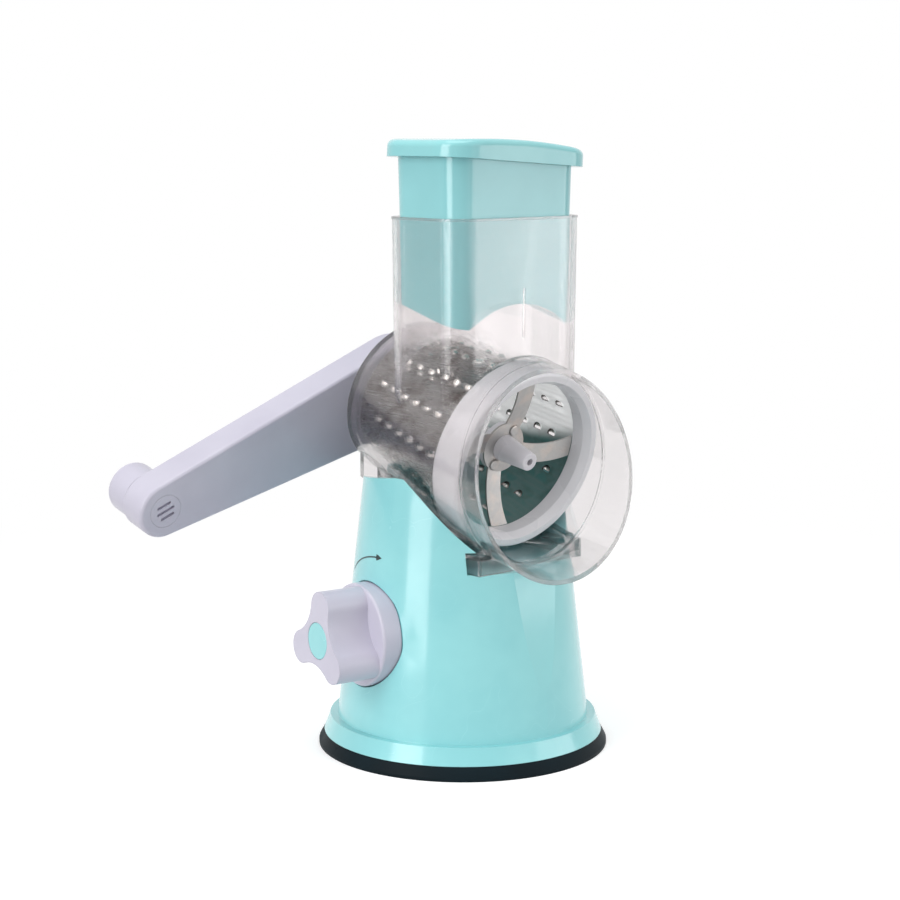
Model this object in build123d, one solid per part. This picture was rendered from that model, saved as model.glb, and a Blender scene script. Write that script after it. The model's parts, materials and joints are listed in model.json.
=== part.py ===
"""Rotary cabbage shredder on a suction base: a hand crank turns a conical grating drum.

Millimetres, +Z up. The origin is the middle of the suction cup's underside, on the table.
The mouth of the drum looks towards +X and down, the suction knob is on the -Y side.
"""
from math import acos, asin, atan, atan2, cos, degrees, pi, radians, sin, sqrt, tan
import os

from build123d import *

os.makedirs("parts", exist_ok=True)

# ---------------------------------------------------------------- base
cup_radius = 65.0
cup_lip = 1.5
membrane = 2.5
skirt_bottom_z = 6.0
skirt_bottom_radius = 62.6
skirt_top_z = 13.5
skirt_top_radius = 59.8
skirt_wall = 5.0
cone_foot_radius = 56.4
cone_top_radius = 43.8
base_top_z = 125.0
base_wall = 2.6
top_fall = 7.0
top_fall_start_x = 5.0
facet_depth = 1.6
facet_low_z = 33.0
plate_thickness = 2.5
plate_clearance = 0.4
boss_radius = 4.5
boss_ring_radius = 50.0
boss_height = 24.0
boss_count = 4
screw_radius = 1.5
screw_head_radius = 3.0
screw_head = 2.0
screw_clearance = 0.05

# ---------------------------------------------------------------- chamber rail
flange_half = 30.0
flange_low_z = 86.2
flange_high_z = 94.8
neck_half = 26.3
rail_back_x = -28.0
rail_front_x = 44.8
rail_wall = 2.4
rail_gap = 0.4
rail_block_wall = 2.6
rail_floor = 5.0
leg_half = 27.0
leg_wall = 2.5
leg_x = -36.8
leg_gap = 1.6

# ---------------------------------------------------------------- drum and barrel
drum_tilt = 15.0
axis_height = 143.8
sleeve_back = -33.5
sleeve_front = 34.6
sleeve_back_radius = 30.4
sleeve_front_radius = 38.0
sheet = 0.7
scoop_rise = 1.5
scoop_radius = 2.9
scoop_wall = 0.6
scoop_rows = 14
scoops_per_row = 6
scoop_pitch = 8.4
scoop_first = -22.0
scoop_gap = 1.1
barrel_wall = 2.2
barrel_back = -38.8
back_wall = 2.2
ring_back = 29.5
ring_front = 44.5
ring_radius = 39.9
ring_bore = 34.4
ring_flare = 2.0
ring_flare_length = 3.5
ring_gap = 0.8
spider_plate_s = 27.0
spider_sheet = 0.9
spider_rim_s = 33.4
spider_hub_radius = 11.2
spider_arms = 4
spider_arm_width = 8.5
spider_arm_curve = 42.0
hub_radius = 6.0
hub_nose_radius = 4.0
hub_nose = 0.6
hub_flange = 2.6
rear_flange = 2.0
rivet_ring = 8.6
rivet_radius = 1.6
rivet_head = 0.9
front_rivet_angle = 62.0
rear_plate_s = -31.0
rear_hub_length = 8.0
mouth_x = 46.8
cradle_gap = 2.5
guard_reach = 13.0
guard_drop = 3.2
guard_lean = 8.0
guard_flare = 2.6
guard_wall = 2.0
guard_step = 0.6

# ---------------------------------------------------------------- hopper and pusher
hopper_x = 14.5
hopper_width_x = 50.0
hopper_width_y = 77.0
hopper_corner = 13.0
hopper_wall = 2.3
hopper_top_z = 236.5
hopper_draft = 0.6
pusher_gap = 0.35
pusher_wall = 2.0
pusher_lift = 23.0
pusher_draft = 1.4
pusher_arch_gap = 1.4
pusher_arch_spread = 5.0
pusher_foot_height = 31.4
lid_overhang = 2.2
lid_height = 6.8
lid_crown = 2.4
lid_edge = 3.0
lid_plug = 6.0
lid_plug_gap = 0.2
lid_slope = 3.7

# ---------------------------------------------------------------- crank
arm_front = -45.0
arm_thickness = 15.0
arm_length = 129.0
arm_angle = 20.6
arm_hub_radius = 22.5
arm_end_radius = 12.6
arm_wall = 2.2
arm_edge = 1.6
cover_thickness = 2.0
cover_gap = 0.15
journal_radius = 5.0
bush_end_gap = 0.3
hex_flats = 8.0
hex_clearance = 0.1
running_gap = 0.06
shaft_front = 31.0
shaft_end_gap = 0.4
arm_boss_radius = 9.0
axle_boss_radius = 8.5
cover_screw_share = (0.36, 0.68)
cover_screw_radius = 1.2
grip_radius = 11.5
grip_length = 15.0
grip_gap = 0.4
grip_end_round = 3.5
grip_shoulder_depth = 6.5
grip_cap_radius = 6.95
axle_radius = 4.0
axle_head_radius = 7.5
axle_head = 2.6
axle_slots = 3
axle_slot_width = 1.3

# ---------------------------------------------------------------- suction knob
knob_height = 55.6
knob_turn = 7.5
knob_flange_radius = 22.6
knob_pocket_floor = 46.2
knob_pocket_gap = 0.6
knob_back = 46.6
knob_flange_front = 55.6
knob_front = 75.4
knob_lobe_radius = 7.3
knob_lobe_reach = 22.2
knob_web_round = 18.0
knob_lobe_angle = 81.0
knob_cap_radius = 8.0
knob_cap_depth = 1.5
knob_bore_depth = 14.0
cam_radius = 7.5
cam_throw = 3.0
cam_width = 8.0
cam_shaft_radius = 4.0
yoke_clearance = 1.2
yoke_rim = 3.0
yoke_thickness = 6.0
stem_radius = 4.5
stem_foot_radius = 8.8
ear_half = 8.0
ear_thickness = 4.0
ear_spacing = 26.8
bracket_plate = 2.4
bracket_screw_y = 7.5
bush_wall = 4.0

MIN_Z = (Align.CENTER, Align.CENTER, Align.MIN)

# ---------------------------------------------------------------- worked-out sizes and frames
cone_slope = (cone_foot_radius - cone_top_radius) / (base_top_z - skirt_top_z)
sleeve_slope = (sleeve_front_radius - sleeve_back_radius) / (sleeve_front - sleeve_back)
barrel_bore_front = ring_radius + ring_gap
barrel_bore_back = sleeve_back_radius + scoop_rise + scoop_gap
barrel_straight = ring_back
cradle_radius = barrel_bore_front + barrel_wall + cradle_gap
arm_back = arm_front - arm_thickness
bush_back = arm_front + bush_end_gap
hex_radius = hex_flats / 2 / cos(radians(30))
block_low_z = flange_low_z - rail_gap - rail_floor
plate_low_z = skirt_bottom_z + 0.2
knob_screw_seat = knob_back + knob_bore_depth + 2
cam_shaft_end = -ear_spacing / 2 - ear_thickness / 2 - 4
shaft_back = arm_back + cover_thickness + 2.6
grip_back = arm_back - grip_gap - grip_length
grip_shoulder = grip_back + grip_shoulder_depth
grip_clip_s = grip_shoulder - 0.4
pusher_top_z = hopper_top_z + pusher_lift
pusher_top_x = hopper_width_x - 2 * (hopper_wall + pusher_gap)
pusher_top_y = hopper_width_y - 2 * (hopper_wall + pusher_gap)
pusher_corner = hopper_corner - hopper_wall - pusher_gap

DRUM = Plane(origin=(0, 0, axis_height), x_dir=(0, 1, 0),
             z_dir=(cos(radians(drum_tilt)), 0, -sin(radians(drum_tilt)))).location


def cone_radius(z):
    """Outer radius of the base cone at a height."""
    return cone_foot_radius - (z - skirt_top_z) * cone_slope


def sleeve_radius(s):
    """Outer radius of the drum sleeve at a place along the drum's axis."""
    return sleeve_back_radius + (s - sleeve_back) * sleeve_slope


SUCTION = Rot(0, 0, -knob_turn)
KNOB = SUCTION * Plane(origin=(0, 0, knob_height), x_dir=(1, 0, 0), z_dir=(0, -1, 0)).location
LID_SEAT = Pos(hopper_x, 0, pusher_top_z) * Rot(-lid_slope, 0, 0)
grip_centre = (-arm_length * cos(radians(arm_angle)), -arm_length * sin(radians(arm_angle)))


# ---------------------------------------------------------------- helpers
def tube(radius, low, high):
    """Cylinder about local Z between two heights."""
    return Pos(0, 0, low) * Cylinder(radius, high - low, align=MIN_Z)


def frustum(radius_low, low, radius_high, high):
    """Cone about local Z between two heights."""
    return Pos(0, 0, low) * Cone(radius_low, radius_high, high - low, align=MIN_Z)


def hexagon(flats, low, high):
    """Hexagonal bar about local Z between two heights."""
    sketch = RegularPolygon(flats / 2 / cos(radians(30)), 6)
    return Pos(0, 0, low) * extrude(sketch, high - low)


def block(x0, x1, y0, y1, z0, z1):
    """Box between two corners."""
    centre = ((x0 + x1) / 2, (y0 + y1) / 2, (z0 + z1) / 2)
    return Pos(*centre) * Box(x1 - x0, y1 - y0, z1 - z0)


def turned(points):
    """Solid of revolution about Z from (radius, z) corners."""
    face = make_face(Polyline(*[(r, 0, z) for r, z in points], close=True))
    return revolve(face, Axis.Z, 360)


def rounded_prism(width_x, width_y, corner, z_top, depth, draft, x_middle):
    """Upright prism with round corners that narrows downwards by the draft angle."""
    sketch = Pos(x_middle, 0, z_top) * RectangleRounded(width_x, width_y, corner)
    return extrude(sketch, amount=-depth, taper=draft)


def taper_slot(end, radius_start, radius_end):
    """Outline that wraps a circle at the origin and another at `end`."""
    length = sqrt(end[0] ** 2 + end[1] ** 2)
    heading = atan2(end[1], end[0])
    lean = acos((radius_start - radius_end) / length)
    corners = []
    for side in (1, -1):
        normal = (cos(heading + side * lean), sin(heading + side * lean))
        start = (radius_start * normal[0], radius_start * normal[1])
        finish = (end[0] + radius_end * normal[0], end[1] + radius_end * normal[1])
        corners += [start, finish] if side == 1 else [finish, start]
    middle = make_face(Polyline(*corners, close=True))
    return middle + Circle(radius_start) + Pos(*end) * Circle(radius_end)


def ring_places(count, radius, start=0.0):
    """Points spread evenly on a circle."""
    return [(radius * cos(2 * pi * i / count + radians(start)),
             radius * sin(2 * pi * i / count + radians(start))) for i in range(count)]


def screw(head_radius, head, radius, length):
    """Pan head screw along local -Z with its head standing on z = 0."""
    body = tube(head_radius, 0, head) + tube(radius, -length, 0)
    top = body.edges().group_by(Axis.Z)[-1]
    body = fillet(top, min(head, head_radius) * 0.4)
    cross = Box(head_radius * 1.2, 0.7, head) + Box(0.7, head_radius * 1.2, head)
    return body - Pos(0, 0, head) * cross


def save(name, shape):
    """Write one node."""
    solids = shape.solids()
    whole = solids[0] if len(solids) == 1 else Compound(children=list(solids))
    export_step(whole, f"parts/{name}.step")


# ---------------------------------------------------------------- base pieces
def cradle(extra=0.0):
    """Round trough about the drum's axis in which the chamber lies."""
    return DRUM * tube(cradle_radius + extra, -90, 90)


def top_cutter(drop=0.0):
    """Everything above the base's top edge, which falls a little towards the back."""
    big = 2 * cup_radius
    over = block(-big, 0, -big, big, 0, big)
    front = block(-1, big, -big, big, 0, big)
    tilted = Rot(0, -top_fall, 0) * over
    return Pos(top_fall_start_x, 0, base_top_z - drop) * (tilted + front)


def rail_slot():
    """T-shaped slot for the chamber's foot, open to the front and into the cradle."""
    reach = 2 * cup_radius
    wide = block(rail_back_x - rail_gap, reach, -flange_half - rail_gap, flange_half + rail_gap,
                 flange_low_z - rail_gap, flange_high_z + rail_gap)
    narrow = block(rail_back_x - rail_gap, reach, -neck_half - rail_gap, neck_half + rail_gap,
                   flange_low_z, base_top_z + cup_radius)
    return wide + narrow


def screw_bosses():
    """Bosses inside the wall for the base plate's screws."""
    low = plate_low_z + plate_thickness
    posts = [Pos(x, y, 0) * tube(boss_radius, low, low + boss_height)
             for x, y in ring_places(boss_count, boss_ring_radius, 45)]
    return posts


def base_shell():
    """Hollow cone with a skirt, a cradle on top, the foot's T slot and the knob's pocket."""
    outer = frustum(cone_radius(skirt_bottom_z), skirt_bottom_z, cone_radius(base_top_z + 5),
                    base_top_z + 5)
    skirt = frustum(skirt_bottom_radius, skirt_bottom_z, skirt_top_radius, skirt_top_z)
    hollow = frustum(cone_radius(0) - base_wall, 0, cone_radius(base_top_z) - base_wall, base_top_z)
    hollow -= cradle(base_wall)
    hollow -= top_cutter(base_wall)
    side = flange_half + rail_gap + rail_block_wall
    hollow -= block(rail_back_x - rail_gap - rail_block_wall, 2 * cup_radius, -side, side,
                    block_low_z, base_top_z + cup_radius)
    hollow -= KNOB * tube(knob_flange_radius + knob_pocket_gap + base_wall,
                          knob_pocket_floor - base_wall, 90)
    for post in screw_bosses():
        hollow -= post
    shell = outer + skirt - hollow
    shell -= tube(skirt_bottom_radius - skirt_wall, 0, skirt_bottom_z + skirt_wall)
    shell -= cradle()
    shell -= top_cutter()
    shell -= rail_slot()
    shell -= KNOB * tube(knob_flange_radius + knob_pocket_gap, knob_pocket_floor, 90)
    shell -= KNOB * tube(cam_shaft_radius + bush_wall + screw_clearance, 20, 50)
    shell -= facet()
    low = plate_low_z + plate_thickness
    for post in ring_places(boss_count, boss_ring_radius, 45):
        shell -= Pos(*post, 0) * tube(screw_radius + screw_clearance, 0, low + 14)
    for y in (-1, 1):
        shell -= SUCTION * Pos(0, y * bracket_screw_y, 0) * tube(screw_radius + screw_clearance, 0,
                                                                 block_low_z + 4)
    return keep_largest(shell)


def facet():
    """Flat on the front under the rail, deepest just below the foot."""
    high_x = cone_radius(flange_low_z) - facet_depth
    low_x = cone_radius(facet_low_z)
    lean = degrees(atan((low_x - high_x) / (flange_low_z - facet_low_z)))
    slab = block(0, 40, -60, 60, -10, 90)
    return Pos(low_x, 0, facet_low_z) * Rot(0, -lean, 0) * slab


def keep_largest(shape):
    """Drop crumbs left by the cuts."""
    return sorted(shape.solids(), key=lambda solid: solid.volume)[-1]


def suction_cup():
    """Soft rubber cup: outer lip under the skirt, thin membrane, collar for the stem's foot."""
    inner = skirt_bottom_radius - skirt_wall
    collar = stem_foot_radius + plate_clearance
    return turned([(0, 0), (cup_radius, 0), (cup_radius, cup_lip), (skirt_bottom_radius, skirt_bottom_z),
                   (inner - 0.2, skirt_bottom_z), (inner - 0.2, skirt_bottom_z + 4.5),
                   (inner - 1.8, skirt_bottom_z + 4.5), (inner - 1.8, membrane),
                   (collar + 3.3, membrane), (collar + 3.3, membrane + 5), (collar, membrane + 5),
                   (collar, membrane), (0, membrane)])


def base_plate():
    """Plate that closes the base above the cup."""
    radius = skirt_bottom_radius - skirt_wall - 1.8 - plate_clearance
    low = plate_low_z
    plate = tube(radius, low, low + plate_thickness)
    plate -= tube(stem_foot_radius + 5.2, 0, 20)
    for post in ring_places(boss_count, boss_ring_radius, 45):
        plate -= Pos(*post, 0) * tube(screw_radius + screw_clearance, 0, 20)
    for angle in (0, 90, 180, 270):
        rib = block(20, 44, -1, 1, low + plate_thickness, low + plate_thickness + 4)
        plate += Rot(0, 0, angle) * rib
    return plate


def base_screws():
    """Screws that hold the plate, heads down."""
    one = screw(screw_head_radius, screw_head, screw_radius, 13)
    return Compound(children=[Pos(*post, plate_low_z) * Rot(180, 0, 0) * one
                              for post in ring_places(boss_count, boss_ring_radius, 45)])


def cam_bracket():
    """Bracket under the rail block whose two ears carry the cam shaft."""
    half = ear_spacing / 2 + ear_thickness / 2
    top = block_low_z
    body = block(-ear_half - 4, ear_half + 4, -half, half, top - bracket_plate, top)
    for side in (-1, 1):
        y = side * ear_spacing / 2
        ear = block(-ear_half, ear_half, y - ear_thickness / 2, y + ear_thickness / 2,
                    knob_height - ear_half, top)
        body += ear
        body -= Pos(0, side * bracket_screw_y, 0) * tube(screw_radius + screw_clearance, 0, top)
    return (SUCTION * body) - KNOB * tube(cam_shaft_radius + running_gap, -90, 90)


def bracket_screws():
    """Screws that hold the bracket, heads down."""
    one = screw(screw_head_radius, screw_head, screw_radius, bracket_plate + 3.6)
    return Compound(children=[SUCTION * Pos(0, side * bracket_screw_y, block_low_z - bracket_plate)
                              * Rot(180, 0, 0) * one for side in (-1, 1)])


def knob_bush():
    """Flanged bush in the wall behind the knob."""
    back = knob_pocket_floor - base_wall
    body = tube(cam_shaft_radius + bush_wall, back - 2, knob_pocket_floor)
    body += tube(cam_shaft_radius + bush_wall + 2.5, back - 2, back)
    return KNOB * (body - tube(cam_shaft_radius + running_gap, 0, 90))


# ---------------------------------------------------------------- suction knob pieces
def knob():
    """Round flange in the pocket with a three lobed grip on it."""
    plan = Circle(knob_lobe_radius)
    reach = knob_lobe_reach - knob_lobe_radius
    for i in range(3):
        petal = Rectangle(reach, 2 * knob_lobe_radius, align=(Align.MIN, Align.CENTER))
        petal += Pos(reach, 0) * Circle(knob_lobe_radius)
        plan += Rot(0, 0, knob_lobe_angle + 120 * i) * petal
    plan = fillet(plan.vertices().sort_by_distance((0, 0))[:3], knob_web_round)
    grip = Pos(0, 0, knob_flange_front) * extrude(plan, knob_front - knob_flange_front)
    flange = tube(knob_flange_radius, knob_back, knob_flange_front)
    flange = fillet(flange.edges().group_by(Axis.Z)[-1], 1.2)
    body = flange + grip
    skirt = tube(knob_flange_radius - 3, knob_back - 1, knob_flange_front - 2.5)
    body -= skirt - tube(cam_shaft_radius + 5, knob_back - 1, knob_flange_front)
    body -= tube(cam_shaft_radius + 0.02, knob_back - 1, knob_back + knob_bore_depth)
    body -= tube(screw_radius + 0.2, knob_back, knob_front)
    body -= tube(screw_head_radius + 1.2, knob_screw_seat, knob_front + 1)
    body -= tube(knob_cap_radius + 0.1, knob_front - knob_cap_depth, knob_front + 1)
    return KNOB * body


def knob_cap():
    """Round coloured inset over the knob's screw."""
    low = knob_front - knob_cap_depth
    cap = tube(knob_cap_radius, low, knob_front) + tube(screw_head_radius + 1.1, low - 3, low)
    return KNOB * fillet(cap.edges().group_by(Axis.Z)[-1], 0.4)


def knob_screw():
    """Screw that holds the knob on its shaft."""
    return KNOB * Pos(0, 0, knob_screw_seat) * screw(screw_head_radius, screw_head, screw_radius, 9)


def cam_shaft():
    """Knob shaft with the eccentric cam that lifts the stem."""
    body = tube(cam_shaft_radius, cam_shaft_end, knob_back + knob_bore_depth)
    body += Pos(cam_throw, 0, 0) * tube(cam_radius, -cam_width / 2, cam_width / 2)
    body -= tube(screw_radius + screw_clearance, knob_back + knob_bore_depth - 9,
                 knob_back + knob_bore_depth + 1)
    groove = cam_shaft_end + 2
    body -= tube(cam_shaft_radius + 1, groove, groove + 0.9) \
        - tube(cam_shaft_radius - 0.9, groove, groove + 0.9)
    return KNOB * body


def shaft_clip():
    """Open ring clip in the groove at the inner end of the cam shaft."""
    low = cam_shaft_end + 2.05
    body = tube(cam_shaft_radius + 2.2, low, low + 0.8) - tube(cam_shaft_radius - 0.85, low, low + 0.8)
    body -= block(0, 10, -2, 2, low - 1, low + 2)
    return KNOB * body


def cup_stem():
    """Stem of the suction cup: foot, rod and the yoke that the cam lifts."""
    half_height = cam_radius + yoke_clearance
    half_width = cam_radius + cam_throw + 1
    middle = knob_height
    frame = block(-half_width - yoke_rim, half_width + yoke_rim, -yoke_thickness / 2, yoke_thickness / 2,
                  middle - half_height - yoke_rim, middle + half_height + yoke_rim)
    frame -= block(-half_width, half_width, -10, 10, middle - half_height, middle + half_height)
    foot = tube(stem_foot_radius, membrane + 0.3, membrane + 3.5)
    rod = tube(stem_radius, membrane + 3.5, middle - half_height - yoke_rim)
    return SUCTION * (foot + rod + frame)


# ---------------------------------------------------------------- chamber pieces
def barrel(grow=0.0, back=barrel_back, front=66.0):
    """Bore of the barrel, or its outside when grown by the wall."""
    slope = (barrel_bore_front - barrel_bore_back) / (barrel_straight - barrel_back)
    start = barrel_bore_back + (back - barrel_back) * slope
    body = frustum(start + grow, back, barrel_bore_front + grow, barrel_straight)
    return DRUM * (body + tube(barrel_bore_front + grow, barrel_straight, front))


def guard(grow):
    """Flared collar in front of the mouth, leaning back."""
    centre_z = axis_height - mouth_x * tan(radians(drum_tilt)) - 0.1
    near = Plane(origin=(mouth_x - 0.4, 0, centre_z), x_dir=(0, 1, 0), z_dir=(1, 0, 0))
    lean = radians(guard_lean)
    far = Plane(origin=(mouth_x + guard_reach, 0, centre_z - guard_drop), x_dir=(0, 1, 0),
                z_dir=(cos(lean), 0, sin(lean)))
    radius = barrel_bore_front + guard_step + grow
    mouth = Ellipse(radius, radius / cos(radians(drum_tilt)))
    return loft([near * mouth, far * Circle(radius + guard_flare)], ruled=True)


def hopper_outside():
    """Outside of the hopper down into the barrel."""
    return rounded_prism(hopper_width_x, hopper_width_y, hopper_corner, hopper_top_z,
                         hopper_top_z - axis_height, hopper_draft, hopper_x)


def hopper_inside():
    """Inside of the hopper."""
    return rounded_prism(hopper_width_x - 2 * hopper_wall, hopper_width_y - 2 * hopper_wall,
                         hopper_corner - hopper_wall, hopper_top_z,
                         hopper_top_z - axis_height - 10, hopper_draft, hopper_x)


def clear_chamber():
    """Clear moulding: barrel, hopper, mouth guard, back wall and the T-shaped foot."""
    before_mouth = block(-80, mouth_x, -90, 90, 60, 300)
    body = barrel(barrel_wall) & before_mouth
    body += hopper_outside()
    body += guard(guard_wall)
    neck = block(rail_back_x, rail_front_x - 0.6, -neck_half, neck_half, flange_high_z - 1, axis_height)
    neck -= block(rail_back_x + rail_wall, rail_front_x - 3, -neck_half + rail_wall, neck_half - rail_wall,
                  flange_high_z - 3, axis_height)
    body += neck - DRUM * tube(barrel_bore_back + 1, -60, 60)
    foot = block(rail_back_x, rail_front_x, -flange_half, flange_half, flange_low_z, flange_high_z)
    foot -= block(rail_back_x + rail_wall, rail_front_x - rail_wall, -flange_half + rail_wall,
                  flange_half - rail_wall, flange_low_z - 1, flange_high_z - rail_wall)
    body += foot
    leg = block(leg_x - leg_wall, leg_x, -leg_half, leg_half, base_top_z - 30, axis_height)
    body += leg & (DRUM * tube(cradle_radius - leg_gap, -90, 90))
    hub = DRUM * tube(journal_radius + bush_wall + 2.6, bush_back + 0.7, barrel_back + 5)
    body += hub
    inside = barrel(0, barrel_back + back_wall) - hub
    body -= inside & block(-80, mouth_x + 0.2, -90, 90, 60, 300)
    body -= guard(0)
    body -= hopper_inside()
    body -= DRUM * tube(journal_radius + bush_wall + 0.02, barrel_back - 20, barrel_back + 20)
    return keep_largest(body)


def shaft_bush():
    """Plain bush in the chamber's back wall for the crank shaft."""
    body = tube(journal_radius + bush_wall, bush_back, barrel_back + 5)
    body += tube(journal_radius + bush_wall + 2, barrel_back + 5, barrel_back + 6)
    return DRUM * (body - tube(journal_radius + running_gap, -60, 0))


# ---------------------------------------------------------------- drum pieces
def scoop_places():
    """Angle and place along the axis of every scoop, neighbouring rows staggered."""
    places = []
    for row in range(scoop_rows):
        shift = scoop_pitch / 2 if row % 2 else 0.0
        for i in range(scoops_per_row):
            places.append((360 / scoop_rows * row, scoop_first + shift + i * scoop_pitch))
    return places


def drum_sleeve():
    """Conical steel sleeve with raised scoops, each open to one side."""
    outer = frustum(sleeve_back_radius, sleeve_back, sleeve_front_radius, sleeve_front)
    inner = frustum(sleeve_back_radius - sheet, sleeve_back, sleeve_front_radius - sheet, sleeve_front)
    holes = []
    hoods = []
    sink = scoop_radius - scoop_rise
    hood = Sphere(scoop_radius) - Sphere(scoop_radius - scoop_wall)
    hood = hood & block(sink - sheet + 0.1, 10, 0, 10, -10, 10)
    hole = Sphere(scoop_radius - scoop_wall) & block(-5, 10, -0.9, 10, -10, 10)
    for angle, place in scoop_places():
        seat = Rot(0, 0, angle) * Pos(sleeve_radius(place) - sink, 0, place)
        holes.append(seat * hole)
        hoods.append(seat * hood)
    sleeve = (outer - inner) - holes
    sleeve = sleeve + hoods
    return DRUM * keep_largest(sleeve)


def drum_ring():
    """White ring that grips the sleeve's front edge and lines the mouth."""
    body = tube(ring_radius, ring_back, ring_front)
    body = fillet(body.edges().group_by(Axis.Z)[-1], 1.2)
    body -= frustum(sleeve_radius(ring_back - 1), ring_back - 1, sleeve_radius(sleeve_front), sleeve_front)
    body -= tube(ring_bore, ring_back - 1, ring_front + 1)
    body -= frustum(ring_bore, ring_front - ring_flare_length, ring_bore + ring_flare, ring_front)
    return DRUM * body


def spider_plan(reach, arms, hub):
    """Hub disc with curved arms that end on a circle."""
    plan = Circle(hub)
    start = degrees(asin(reach / 2 / spider_arm_curve))
    for i in range(arms):
        band = Circle(spider_arm_curve + spider_arm_width / 2)
        band -= Circle(spider_arm_curve - spider_arm_width / 2)
        band = Pos(0, spider_arm_curve) * band
        band = band & Pos(reach / 2, reach / 2) * Rectangle(reach, 2 * reach)
        plan += Rot(0, 0, 360 / arms * i - start) * band
    return plan & Circle(reach)


def front_spider():
    """Dished steel spider with four curved arms that carries the ring on the hub."""
    run = ring_bore - 0.05
    low = make_face(Polyline((0, 0, spider_plate_s), (spider_hub_radius, 0, spider_plate_s),
                             (run, 0, spider_rim_s), (run, 0, spider_rim_s + spider_sheet),
                             (spider_hub_radius, 0, spider_plate_s + spider_sheet),
                             (0, 0, spider_plate_s + spider_sheet), close=True))
    dish = revolve(low, Axis.Z, 360)
    prism = Pos(0, 0, spider_plate_s - 5) * extrude(spider_plan(run, spider_arms, spider_hub_radius), 25)
    body = dish & prism
    body -= tube(hub_radius, 0, 60)
    for x, y in ring_places(2, rivet_ring, front_rivet_angle):
        body -= Pos(x, y, 0) * tube(rivet_radius + 0.02, 0, 60)
    return DRUM * keep_largest(body)


def drum_hub():
    """Plastic hub in front, with the hexagonal socket for the shaft."""
    body = frustum(hub_radius, spider_plate_s, hub_nose_radius, ring_front + hub_nose)
    body = fillet(body.edges().group_by(Axis.Z)[-1], 0.6)
    body += tube(hub_radius, spider_plate_s - 7, spider_plate_s)
    body += tube(spider_hub_radius - 0.2, spider_plate_s - hub_flange, spider_plate_s)
    body -= hexagon(hex_flats + 2 * hex_clearance, 0, shaft_front + shaft_end_gap)
    body -= tube(screw_radius, 0, 60)
    for x, y in ring_places(2, rivet_ring, front_rivet_angle):
        body -= Pos(x, y, 0) * tube(rivet_radius + 0.02, 0, 60)
    return DRUM * body


def rivets(low, high, count, start):
    """Rivets with a round head at each end of the grip length."""
    one = tube(rivet_radius, low - rivet_head, high + rivet_head)
    for start_s in (low - rivet_head, high):
        one += tube(rivet_radius + rivet_head, start_s, start_s + rivet_head)
    one = fillet(one.edges().group_by(Axis.Z)[-1], 0.7 * rivet_head)
    return Compound(children=[DRUM * Pos(x, y, 0) * one for x, y in ring_places(count, rivet_ring, start)])


def rear_spider():
    """Flat steel end plate of the drum with three-cornered windows."""
    radius = sleeve_radius(rear_plate_s) - sheet - 0.02
    body = tube(radius, rear_plate_s, rear_plate_s + spider_sheet)
    for i in range(4):
        window = Circle(radius - 3.5) - Circle(spider_hub_radius + 2.5)
        window = window & Pos(radius / 2 + 2, radius / 2 + 2) * Rectangle(radius, radius)
        body -= Rot(0, 0, 90 * i + 20) * Pos(0, 0, rear_plate_s - 1) * extrude(window, 4)
    body -= hexagon(hex_flats + 2 * hex_clearance, -60, 0)
    for x, y in ring_places(2, rivet_ring, 0):
        body -= Pos(x, y, 0) * tube(rivet_radius + 0.02, -60, 0)
    return DRUM * body


def rear_hub():
    """Plastic hub behind, which slides on the hexagonal shaft."""
    low = rear_plate_s + spider_sheet
    body = tube(spider_hub_radius, low, low + rear_flange)
    body += tube(hub_radius, low, low + rear_hub_length)
    body -= hexagon(hex_flats + 2 * hex_clearance, -60, 60)
    for x, y in ring_places(2, rivet_ring, 0):
        body -= Pos(x, y, 0) * tube(rivet_radius + 0.02, -60, 60)
    return DRUM * body


# ---------------------------------------------------------------- crank pieces
def arm_plan(inset=0.0):
    """Outline of the crank arm, drawn in from its edge by `inset`."""
    return taper_slot(grip_centre, arm_hub_radius - inset, arm_end_radius - inset)


def cover_screw_places():
    """Places of the cover's screws along the arm."""
    return [(grip_centre[0] * t, grip_centre[1] * t) for t in cover_screw_share]


def crank_arm():
    """Moulded arm, hollow from behind, with bosses for the shaft, the axle and the cover."""
    body = Pos(0, 0, arm_back) * extrude(arm_plan(), arm_thickness)
    body = fillet(body.edges().group_by(Axis.Z)[-1] + body.edges().group_by(Axis.Z)[0], arm_edge)
    hollow = Pos(0, 0, arm_back - 1) * extrude(arm_plan(arm_wall), arm_thickness - arm_wall + 1)
    hollow -= tube(arm_boss_radius, shaft_back, arm_front)
    hollow -= Pos(*grip_centre, 0) * tube(axle_boss_radius, arm_back, arm_front)
    for place in cover_screw_places():
        hollow -= Pos(*place, 0) * tube(3, arm_back + cover_thickness, arm_front)
    body -= hollow
    body -= tube(journal_radius + 0.02, shaft_back, arm_front + 1)
    for place in cover_screw_places():
        body -= Pos(*place, 0) * tube(cover_screw_radius + screw_clearance, arm_back, arm_front - 4)
    body -= Pos(*grip_centre, 0) * tube(axle_radius + 0.9, arm_back - 1, arm_front + 1)
    body -= Pos(*grip_centre, 0) * tube(axle_head_radius + 0.05, arm_front - axle_head, arm_front + 1)
    return DRUM * body


def crank_cover():
    """Plate that closes the arm from behind."""
    body = Pos(0, 0, arm_back) * extrude(arm_plan(arm_wall + cover_gap), cover_thickness)
    body -= Pos(*grip_centre, 0) * tube(axle_boss_radius + cover_gap, -90, 0)
    for place in cover_screw_places():
        body -= Pos(*place, 0) * tube(cover_screw_radius + screw_clearance, -90, 0)
        body -= Pos(*place, 0) * tube(2.3, -90, arm_back + 1.2)
    return DRUM * body


def cover_screws():
    """Small screws of the cover, heads to the back."""
    one = screw(2.2, 1.1, cover_screw_radius, 7)
    return Compound(children=[DRUM * Pos(*place, arm_back + 1.2) * Rot(180, 0, 0) * one
                              for place in cover_screw_places()])


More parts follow.
